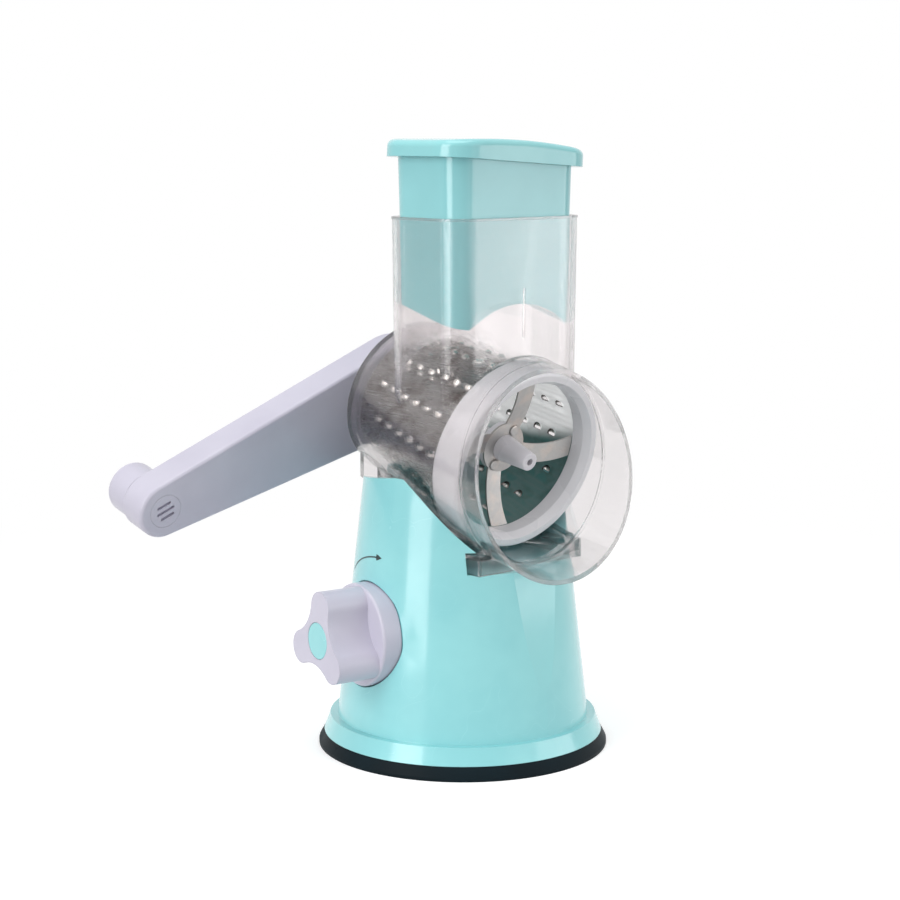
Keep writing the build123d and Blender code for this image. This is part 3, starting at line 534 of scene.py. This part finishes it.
def flat_band(outline_pairs, height_of_ink):
    """Thin slab on the cone between pairs of (run, height) points."""
    verts, faces = [], []
    for pair in outline_pairs:
        for proud in (SKIN_GAP, SKIN_GAP + height_of_ink):
            verts += [cone_point(*pair[0], proud), cone_point(*pair[1], proud)]
    for i in range(len(outline_pairs) - 1):
        a, b = 4 * i, 4 * i + 4
        faces += [(a + 2, a + 3, b + 3, b + 2), (a, b, b + 1, a + 1),
                  (a, a + 2, b + 2, b), (a + 1, b + 1, b + 3, a + 3)]
    last = 4 * (len(outline_pairs) - 1)
    faces += [(0, 1, 3, 2), (last, last + 2, last + 3, last + 1)]
    return verts, faces


class GRATER_OT_base(bpy.types.Operator):
    """Gloss plastic of the base and what is fixed inside it"""

    bl_idname = "grater.base"
    bl_label = "Base"

    def execute(self, context):
        colours = context.scene.grater_colours
        gloss = plastic("gloss turquoise", colours.turquoise, colours.turquoise_deep,
                        0.12, 0.2, 0.000006, Coat_Weight=0.25, Coat_Roughness=0.06)
        finish_nodes(gloss, "base_shell", "knob_cap", "pusher_lid")
        inner = plastic("inner plastic", colours.inner, [c * 0.92 for c in colours.inner],
                        0.4, 0.6, 0.00002)
        finish_nodes(inner, "base_plate", "cam_bracket")
        pale = plastic("bush plastic", colours.bush, [c * 0.94 for c in colours.bush],
                       0.35, 0.5, 0.00001)
        finish_nodes(pale, "knob_bush", "cup_stem", "shaft_bush")
        return {"FINISHED"}


class GRATER_OT_suction_cup(bpy.types.Operator):
    """Matte black rubber of the suction cup"""

    bl_idname = "grater.suction_cup"
    bl_label = "Suction Cup"

    def execute(self, context):
        colours = context.scene.grater_colours
        rubber = plastic("black rubber", colours.rubber, [c * 1.6 for c in colours.rubber],
                         0.45, 0.65, 0.00003, edge=0.0006, edge_highlight=0.5, Specular_IOR_Level=0.08)
        finish_nodes(rubber, "suction_cup")
        return {"FINISHED"}


class GRATER_OT_fasteners(bpy.types.Operator):
    """Plated screws, clips and shafts"""

    bl_idname = "grater.fasteners"
    bl_label = "Fasteners and Shafts"

    def execute(self, context):
        colours = context.scene.grater_colours
        zinc = metal("plated zinc", colours.zinc, colours.steel_warm_reflection, 0.1, 0.25, 0.42, 0.00001)
        finish_nodes(zinc, "base_screws", "bracket_screws", "knob_screw", "cam_shaft", "shaft_clip",
                     "cover_screws", "crank_shaft", "shaft_screw", "grip_clip")
        return {"FINISHED"}


class GRATER_OT_crank_and_knob(bpy.types.Operator):
    """Satin lavender plastic of the crank, its grip and the suction knob"""

    bl_idname = "grater.crank_and_knob"
    bl_label = "Crank and Knob"

    def execute(self, context):
        colours = context.scene.grater_colours
        satin = plastic("satin lavender", colours.lavender, colours.lavender_deep,
                        0.3, 0.4, 0.00001, edge=0.0006)
        finish_nodes(satin, "suction_knob", "crank_arm", "crank_cover", "grip_axle", "crank_grip",
                     "grip_end_cap")
        return {"FINISHED"}


class GRATER_OT_printed_arrow(bpy.types.Operator):
    """Printed arrow above the knob that shows which way it turns"""

    bl_idname = "grater.printed_arrow"
    bl_label = "Printed Arrow"

    def execute(self, context):
        colours, sizes = context.scene.grater_colours, context.scene.grater_sizes
        ink = plastic("printed ink", colours.ink, [c * 1.5 for c in colours.ink],
                      0.3, 0.5, 0.000004, edge=0.00005)
        middle = (ARROW_RUN, ARROW_CREST - sizes.arrow_radius)
        neck = ARROW_TIP - sizes.arrow_head / sizes.arrow_radius

        def across(angle, half):
            """Two points across the printed line at an angle on its arc."""
            return [(middle[0] + (sizes.arrow_radius + side * half) * math.sin(angle),
                     middle[1] + (sizes.arrow_radius + side * half) * math.cos(angle))
                    for side in (-1, 1)]

        pairs = []
        for i in range(ARROW_STEPS + 1):
            share = i / ARROW_STEPS
            half = sizes.arrow_line * (0.22 + 0.28 * min(1.0, share * 4))
            pairs.append(across(ARROW_START + (neck - ARROW_START) * share, half))
        barb = sizes.arrow_head * BARB_SHARE
        pairs.append(across(neck - 0.012, barb))
        pairs += [across(neck + (ARROW_TIP - neck) * share, barb * (1 - share) + 0.00003)
                  for share in (0.25, 0.5, 0.75, 1.0)]
        verts, faces = flat_band(pairs, sizes.ink_height)
        mesh_piece("printed_arrow", "base", ink, verts, faces)
        return {"FINISHED"}


# ---------------------------------------------------------------- chamber
HOPPER_MIDDLE = 0.0145
HOPPER_WIDE = 0.050
HOPPER_DEEP = 0.077
HOPPER_CORNER = 0.013
HOPPER_TOP = 0.2365
HOPPER_DRAFT = math.tan(math.radians(0.6))
CORNER_STEPS = 12
LIP_DROP = 0.00005
RIB_TOP = 0.206
RIB_PROUD = 0.0005
RIB_END_STEPS = 8


def hopper_ring(height, proud):
    """Points round the hopper's outside at a height."""
    shrink = (HOPPER_TOP - height) * HOPPER_DRAFT
    points = []
    for corner in range(4):
        side_x = 1 if corner in (0, 3) else -1
        side_y = 1 if corner in (0, 1) else -1
        middle = (HOPPER_MIDDLE + side_x * (HOPPER_WIDE / 2 - HOPPER_CORNER),
                  side_y * (HOPPER_DEEP / 2 - HOPPER_CORNER))
        reach = HOPPER_CORNER - shrink + proud
        for step in range(CORNER_STEPS + 1):
            angle = math.radians(90 * (corner + step / CORNER_STEPS))
            points.append((middle[0] + reach * math.cos(angle),
                           middle[1] + reach * math.sin(angle), height))
    return points


class GRATER_OT_clear_chamber(bpy.types.Operator):
    """Clear plastic of the hopper, barrel, guard and foot"""

    bl_idname = "grater.clear_chamber"
    bl_label = "Clear Chamber"

    def execute(self, context):
        colours = context.scene.grater_colours
        clear = clear_plastic("clear moulding", colours.clear, colours.clear_edge,
                              0.015, 0.05, 0.0005)
        finish_nodes(clear, "clear_chamber")
        self.add_lip(clear, context.scene.grater_sizes)
        self.add_rib(clear, context.scene.grater_sizes)
        return {"FINISHED"}

    def add_lip(self, clear, sizes):
        """Band round the hopper's top."""
        low = HOPPER_TOP - sizes.lip_height
        high = HOPPER_TOP - LIP_DROP
        rings = [hopper_ring(low, SKIN_GAP), hopper_ring(low, sizes.lip_proud),
                 hopper_ring(high, sizes.lip_proud), hopper_ring(high, SKIN_GAP)]
        count = len(rings[0])
        faces = [(count * r + i, count * r + (i + 1) % count,
                  count * ((r + 1) % 4) + (i + 1) % count, count * ((r + 1) % 4) + i)
                 for r in range(4) for i in range(count)]
        verts = [point for ring in rings for point in ring]
        mesh_piece("hopper_lip", "chamber", clear, verts, faces)

    def add_rib(self, clear, sizes):
        """Upright rib with rounded ends in the middle of the hopper's front."""
        half = sizes.rib_width / 2
        turn = [math.pi * i / RIB_END_STEPS for i in range(RIB_END_STEPS + 1)]
        outline = [(half * math.cos(a), RIB_TOP + half * math.sin(a)) for a in turn]
        outline += [(half * math.cos(math.pi + a),
                     RIB_TOP - sizes.rib_length + half * math.sin(math.pi + a)) for a in turn]
        verts = []
        for proud, share in ((SKIN_GAP, 1.0), (RIB_PROUD * 0.7, 1.0), (RIB_PROUD, 0.6)):
            for y, z in outline:
                face_x = HOPPER_MIDDLE + HOPPER_WIDE / 2 - (HOPPER_TOP - z) * HOPPER_DRAFT
                verts.append((face_x + proud, y * share, z))
        count = len(outline)
        faces = [tuple(range(count)), tuple(range(2 * count, 3 * count))]
        faces += [(count * r + i, count * r + (i + 1) % count,
                   count * (r + 1) + (i + 1) % count, count * (r + 1) + i)
                  for r in range(2) for i in range(count)]
        mesh_piece("hopper_rib", "chamber", clear, verts, faces)


# ---------------------------------------------------------------- drum
# Spiders and rivets take the steel colour darkened to this share: painted shade.
SPIDER_PAINTED_SHADE = 0.6


class GRATER_OT_drum(bpy.types.Operator):
    """Steel sleeve, spiders and rivets, and the drum's plastic ring and hubs"""

    bl_idname = "grater.drum"
    bl_label = "Drum"

    def execute(self, context):
        colours = context.scene.grater_colours
        finish_nodes(sleeve_steel(colours), "drum_sleeve")
        # Darkened steel colour is painted shade on the spiders and rivets.
        pressed = [c * SPIDER_PAINTED_SHADE for c in colours.steel]
        steel = metal("pressed steel", pressed, colours.steel_warm_reflection, 0.2, 0.34, 0.48, 0.00003)
        finish_nodes(steel, "front_spider", "front_rivets", "rear_spider", "rear_rivets")
        white = plastic("white ring plastic", colours.white, [c * 0.96 for c in colours.white],
                        0.22, 0.32, 0.000008)
        finish_nodes(white, "drum_ring")
        grey = plastic("grey hub plastic", colours.hub_grey, [c * 0.94 for c in colours.hub_grey],
                       0.25, 0.36, 0.000008)
        finish_nodes(grey, "drum_hub", "rear_hub")
        return {"FINISHED"}


# ---------------------------------------------------------------- pusher
class GRATER_OT_pusher(bpy.types.Operator):
    """Gloss plastic of the food pusher"""

    bl_idname = "grater.pusher"
    bl_label = "Pusher"

    def execute(self, context):
        colours = context.scene.grater_colours
        gloss = plastic("gloss pusher", colours.pusher, [c * 0.95 for c in colours.pusher],
                        0.08, 0.16, 0.000005, Coat_Weight=0.3, Coat_Roughness=0.05)
        finish_nodes(gloss, "pusher_body")
        return {"FINISHED"}


# ---------------------------------------------------------------- studio
CAMERA_PLACE = (0.6755, -0.5948, 0.2717)
CAMERA_HEADING = math.radians(41)
CAMERA_DIP = math.radians(8.8)
CAMERA_LENS = 81.92
SENSOR = 36.0
FLOOR_FADE = (0.12, 0.6)
FLOOR_PAINT = 0.8


# Each lamp's width, height, azimuth, distance, height above the floor and height it aims at.
LAMPS = (
    ("key lamp", "key_power", (0.55, 1.1, math.radians(-88), 1.15, 0.42, 0.13)),
    ("top lamp", "top_power", (0.9, 0.9, math.radians(-60), 0.25, 1.25, 0.1)),
    ("fill lamp", "fill_power", (0.6, 0.9, math.radians(8), 1.3, 0.5, 0.12)),
    ("front panel", "panel_power", (0.7, 0.4, math.radians(41), 1.0, 0.24, 0.17)),
)


def area_lamp(name, power, size_x, size_y, azimuth, distance, height, aim_height):
    """Rectangular soft lamp that looks at the grater."""
    lamp = bpy.data.lights.new(name, "AREA")
    lamp.shape = "RECTANGLE"
    lamp.size, lamp.size_y, lamp.energy = size_x, size_y, power
    place = Vector((distance * math.cos(azimuth), distance * math.sin(azimuth), height))
    holder = bpy.data.objects.new(name, lamp)
    holder.location = place
    aim = Vector((0, 0, aim_height)) - place
    holder.rotation_euler = aim.to_track_quat("-Z", "Y").to_euler()
    bpy.context.scene.collection.objects.link(holder)


def seen_directly(tree):
    """Share that is 1 for what the camera, gloss and clear plastic see."""
    path = tree.nodes.new("ShaderNodeLightPath")
    share = math_node(tree, "MAXIMUM", path.outputs["Is Camera Ray"], path.outputs["Is Glossy Ray"])
    return math_node(tree, "MAXIMUM", share, path.outputs["Is Transmission Ray"])


class GRATER_OT_studio(bpy.types.Operator):
    """Camera, pale floor, white surroundings and soft lamps"""

    bl_idname = "grater.studio"
    bl_label = "Studio"

    def execute(self, context):
        scene, sizes = context.scene, context.scene.grater_studio
        lens = bpy.data.cameras.new("camera")
        lens.lens, lens.sensor_width = CAMERA_LENS, SENSOR
        camera = bpy.data.objects.new("camera", lens)
        camera.location = CAMERA_PLACE
        ahead = Vector((-math.cos(CAMERA_HEADING) * math.cos(CAMERA_DIP),
                        math.sin(CAMERA_HEADING) * math.cos(CAMERA_DIP), -math.sin(CAMERA_DIP)))
        camera.rotation_euler = ahead.to_track_quat("-Z", "Y").to_euler()
        scene.collection.objects.link(camera)
        scene.camera = camera
        for name, power, shape in LAMPS:
            area_lamp(name, getattr(sizes, power), *shape)
        self.make_floor(sizes)
        self.make_world(scene, sizes)
        scene.view_settings.view_transform = "Standard"
        return {"FINISHED"}

    def make_floor(self, sizes):
        """Round white floor that keeps the grater's shadow."""
        maker = bmesh.new()
        bmesh.ops.create_circle(maker, cap_ends=True, segments=96, radius=sizes.floor_radius)
        mesh = bpy.data.meshes.new("floor")
        maker.to_mesh(mesh)
        maker.free()
        floor = bpy.data.objects.new("floor", mesh)
        bpy.context.scene.collection.objects.link(floor)
        material = bpy.data.materials.new("white floor")
        material.use_nodes = True
        tree = material.node_tree
        surface = tree.nodes["Principled BSDF"]
        surface.inputs["Roughness"].default_value = 0.9
        surface.inputs["Specular IOR Level"].default_value = 0.0
        surface.inputs["Emission Color"].default_value = (1, 1, 1, 1)
        place = tree.nodes.new("ShaderNodeTexCoord").outputs["Object"]
        away = tree.nodes.new("ShaderNodeVectorMath")
        away.operation = "LENGTH"
        tree.links.new(place, away.inputs[0])
        rising = spread(tree, away.outputs["Value"], *FLOOR_FADE, sizes.floor_glow, 1.0)
        glow = math_node(tree, "MULTIPLY", seen_directly(tree), rising)
        paint = spread(tree, away.outputs["Value"], *FLOOR_FADE, FLOOR_PAINT, 0.0)
        tree.links.new(grey_colour(tree, paint), surface.inputs["Base Color"])
        tree.links.new(glow, surface.inputs["Emission Strength"])
        mesh.materials.append(material)

    def make_world(self, scene, sizes):
        """White surroundings whose light on dull surfaces is held lower."""
        world = bpy.data.worlds.new("surroundings")
        world.use_nodes = True
        tree = world.node_tree
        sky = tree.nodes["Background"]
        sky.inputs["Color"].default_value = (1, 1, 1, 1)
        strength = spread(tree, seen_directly(tree), 0.0, 1.0, sizes.ambient, 1.0)
        tree.links.new(strength, sky.inputs["Strength"])
        scene.world = world


class GRATER_PT_pieces(bpy.types.Panel):
    """Lists the grater's pieces, colours and sizes"""

    bl_idname = "GRATER_PT_pieces"
    bl_label = "Grater"
    bl_space_type = "VIEW_3D"
    bl_region_type = "UI"
    bl_category = "Grater"

    def draw(self, context):
        scene, layout = context.scene, self.layout
        for operator in PIECES:
            layout.operator(operator.bl_idname)
        for group in (scene.grater_colours, scene.grater_sizes, scene.grater_studio):
            box = layout.box()
            for name in group.bl_rna.properties.keys():
                if name not in ("rna_type", "name"):
                    box.prop(group, name)


PIECES = (GRATER_OT_base, GRATER_OT_suction_cup, GRATER_OT_fasteners, GRATER_OT_crank_and_knob,
          GRATER_OT_printed_arrow, GRATER_OT_clear_chamber, GRATER_OT_drum, GRATER_OT_pusher,
          GRATER_OT_studio)
GROUPS = {"grater_colours": GraterColours, "grater_sizes": GraterSizes,
          "grater_studio": StudioSizes}


def register():
    """Makes the properties, operators and panel known."""
    for kind in (*GROUPS.values(), *PIECES, GRATER_PT_pieces):
        bpy.utils.register_class(kind)
    for name, kind in GROUPS.items():
        setattr(bpy.types.Scene, name, PointerProperty(type=kind))


def unregister():
    """Takes them back out."""
    for name in GROUPS:
        delattr(bpy.types.Scene, name)
    for kind in (GRATER_PT_pieces, *reversed(PIECES), *GROUPS.values()):
        bpy.utils.unregister_class(kind)


def main():
    """Builds every piece in order."""
    register()
    moulded_skin_group()
    sheet_metal_group()
    sleeve_wall_group()
    for operator in PIECES:
        family, name = operator.bl_idname.split(".")
        getattr(getattr(bpy.ops, family), name)()


if __name__ == "__main__":
    main()
